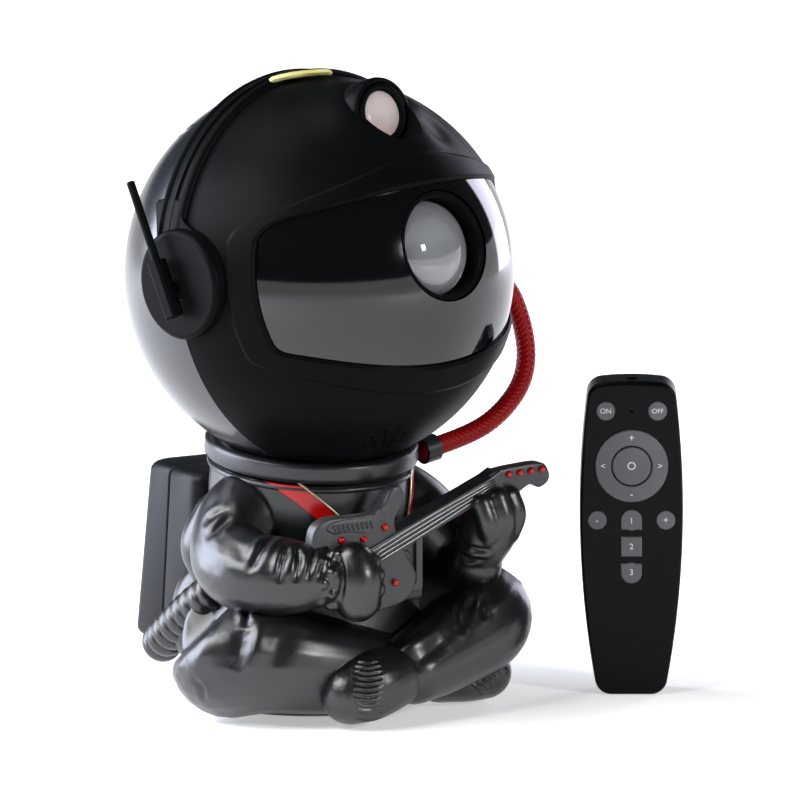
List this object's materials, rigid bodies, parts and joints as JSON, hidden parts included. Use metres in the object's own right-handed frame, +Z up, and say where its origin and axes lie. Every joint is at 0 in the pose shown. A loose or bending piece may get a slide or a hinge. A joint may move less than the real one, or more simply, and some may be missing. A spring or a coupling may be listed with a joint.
{
  "type": "planetarium projector",
  "caption": "Table-top night-sky projector shaped as a seated astronaut with a guitar, with a turning and tilting helmet, and its remote control.",
  "frame": {"origin": "centre of the middle rubber foot, on the surface that the figure stands on", "axes": "+Z up, -Y the way the seated body faces, +X to the body's left; the face is turned and tilted from there by the neck's joints"},
  "size_m": [0.2083, 0.1416, 0.2277],
  "materials": {
    "black_satin": "satin moulded black",
    "black_leather_look": "semi-gloss black with moulded folds",
    "boot_black": "satin black",
    "collar_grey": "gloss dark grey",
    "guitar_grey": "satin dark grey",
    "visor_smoke": "polished smoked panel",
    "lens_glass": "clear glass ball",
    "wheel_glass": "rippled clear plastic",
    "laser_white": "frosted diffuser",
    "red_braid": "braided sleeve",
    "red_paint": "gloss red",
    "steel": "plated",
    "aluminium": "extruded",
    "board_green": "circuit board",
    "grey_frame": "moulded",
    "rubber": "matt",
    "remote_black": "satin black",
    "key_grey": "silicone rubber",
    "battery_wrap": "wrapped cell"
  },
  "bodies": {
    "figure": {"chest_shell": "black_leather_look", "back_shell": "black_leather_look", "right_arm": "black_leather_look", "left_arm": "black_leather_look", "right_leg": "black_leather_look", "left_leg": "black_leather_look", "right_boot": "boot_black", "left_boot": "boot_black", "backpack_shell": "black_satin", "backpack_cover": "black_satin", "breathing_tube": "black_leather_look", "chest_straps": "red_paint", "control_box": "guitar_grey", "guitar": "guitar_grey", "guitar_studs": "red_paint", "base_plate": "grey_frame", "rubber_feet": "rubber", "base_screws": "steel", "neck_magnet": "steel"},
    "collar": {"neck_collar": "collar_grey", "hose_ferrule": "steel", "red_hose": "red_braid"},
    "head": {"helmet_front": "black_satin", "helmet_back": "black_satin", "headband": "black_satin", "right_ear_cup": "black_satin", "left_ear_cup": "black_satin", "visor": "visor_smoke", "lens_hood": "black_satin", "nebula_lens": "lens_glass", "light_frame": "grey_frame", "wheel_motor": "steel", "led_board": "board_green", "heat_sink": "aluminium", "laser_module": "steel", "laser_bezel": "black_satin", "laser_window": "laser_white", "speaker": "grey_frame", "control_board": "board_green", "head_plate": "steel", "helmet_screws": "steel"},
    "antenna": {"antenna_holder": "black_satin", "antenna_rod": "black_satin"},
    "wheel": {"effect_wheel": "wheel_glass"},
    "pinion": {"motor_pinion": "grey_frame"},
    "head_button": {"mode_button": "black_satin"},
    "remote": {"remote_top": "remote_black", "remote_bottom": "remote_black", "remote_board": "board_green", "batteries": "battery_wrap"},
    "remote_door": {"battery_door": "remote_black"},
    "key_on": {"key_on": "key_grey"},
    "key_off": {"key_off": "key_grey"},
    "key_ring": {"key_ring": "key_grey"},
    "key_centre": {"key_centre": "key_grey"},
    "key_laser_down": {"key_laser_down": "key_grey"},
    "key_laser_up": {"key_laser_up": "key_grey"},
    "key_mode": {"key_mode": "key_grey"},
    "key_square": {"key_square": "key_grey"},
    "key_round": {"key_round": "key_grey"}
  },
  "joints": [
    {"name": "neck_turn", "type": "hinge", "parent": "figure", "child": "collar", "pos_m": [0, 0, 0.084], "axis": [0, -0.1045, 0.9945], "range_deg": [-50, 60]},
    {"name": "head_tilt", "type": "hinge", "parent": "collar", "child": "head", "pos_m": [0, -0.00762, 0.1565], "axis": [0.9703, 0.2406, 0.0253], "range_deg": [-10, 30], "deforming": ["red_hose"]},
    {"name": "antenna_swing", "type": "hinge", "parent": "head", "child": "antenna", "pos_m": [-0.06972, -0.02519, 0.15942], "axis": [0.9703, 0.2406, 0.0253], "range_deg": [-60, 40]},
    {"name": "wheel_spin", "type": "hinge", "parent": "head", "child": "wheel", "pos_m": [0.00847, -0.04134, 0.15246], "axis": [0.2259, -0.9383, 0.2617], "continuous": true},
    {"name": "pinion_spin", "type": "hinge", "parent": "head", "child": "pinion", "pos_m": [0.03104, -0.04151, 0.1324], "axis": [0.2259, -0.9383, 0.2617], "continuous": true},
    {"name": "mode_press", "type": "slide", "parent": "head", "child": "head_button", "axis": [0.2259, -0.9383, 0.2617], "range_m": [0, 0.001], "stiffness_N_per_m": 400, "springref_m": -0.0005},
    {"name": "remote_lift", "type": "slide", "parent": "figure", "child": "remote", "axis": [0, 0, 1], "range_m": [0, 0.08]},
    {"name": "door_pull", "type": "slide", "parent": "remote", "child": "remote_door", "axis": [0.5, 0.866, 0], "range_m": [0, 0.012]},
    {"name": "key_on_press", "type": "slide", "parent": "remote", "child": "key_on", "axis": [0.5, 0.866, 0], "range_m": [0, 0.0008], "stiffness_N_per_m": 300, "springref_m": -0.0004},
    {"name": "key_off_press", "type": "slide", "parent": "remote", "child": "key_off", "axis": [0.5, 0.866, 0], "range_m": [0, 0.0008], "stiffness_N_per_m": 300, "springref_m": -0.0004},
    {"name": "key_ring_press", "type": "slide", "parent": "remote", "child": "key_ring", "axis": [0.5, 0.866, 0], "range_m": [0, 0.0008], "stiffness_N_per_m": 300, "springref_m": -0.0004},
    {"name": "key_centre_press", "type": "slide", "parent": "remote", "child": "key_centre", "axis": [0.5, 0.866, 0], "range_m": [0, 0.0008], "stiffness_N_per_m": 300, "springref_m": -0.0004},
    {"name": "key_laser_down_press", "type": "slide", "parent": "remote", "child": "key_laser_down", "axis": [0.5, 0.866, 0], "range_m": [0, 0.0008], "stiffness_N_per_m": 300, "springref_m": -0.0004},
    {"name": "key_laser_up_press", "type": "slide", "parent": "remote", "child": "key_laser_up", "axis": [0.5, 0.866, 0], "range_m": [0, 0.0008], "stiffness_N_per_m": 300, "springref_m": -0.0004},
    {"name": "key_mode_press", "type": "slide", "parent": "remote", "child": "key_mode", "axis": [0.5, 0.866, 0], "range_m": [0, 0.0008], "stiffness_N_per_m": 300, "springref_m": -0.0004},
    {"name": "key_square_press", "type": "slide", "parent": "remote", "child": "key_square", "axis": [0.5, 0.866, 0], "range_m": [0, 0.0008], "stiffness_N_per_m": 300, "springref_m": -0.0004},
    {"name": "key_round_press", "type": "slide", "parent": "remote", "child": "key_round", "axis": [0.5, 0.866, 0], "range_m": [0, 0.0008], "stiffness_N_per_m": 300, "springref_m": -0.0004}
  ],
  "couplings": [
    {"joint": "pinion_spin", "follows": "wheel_spin", "ratio": -4}
  ]
}
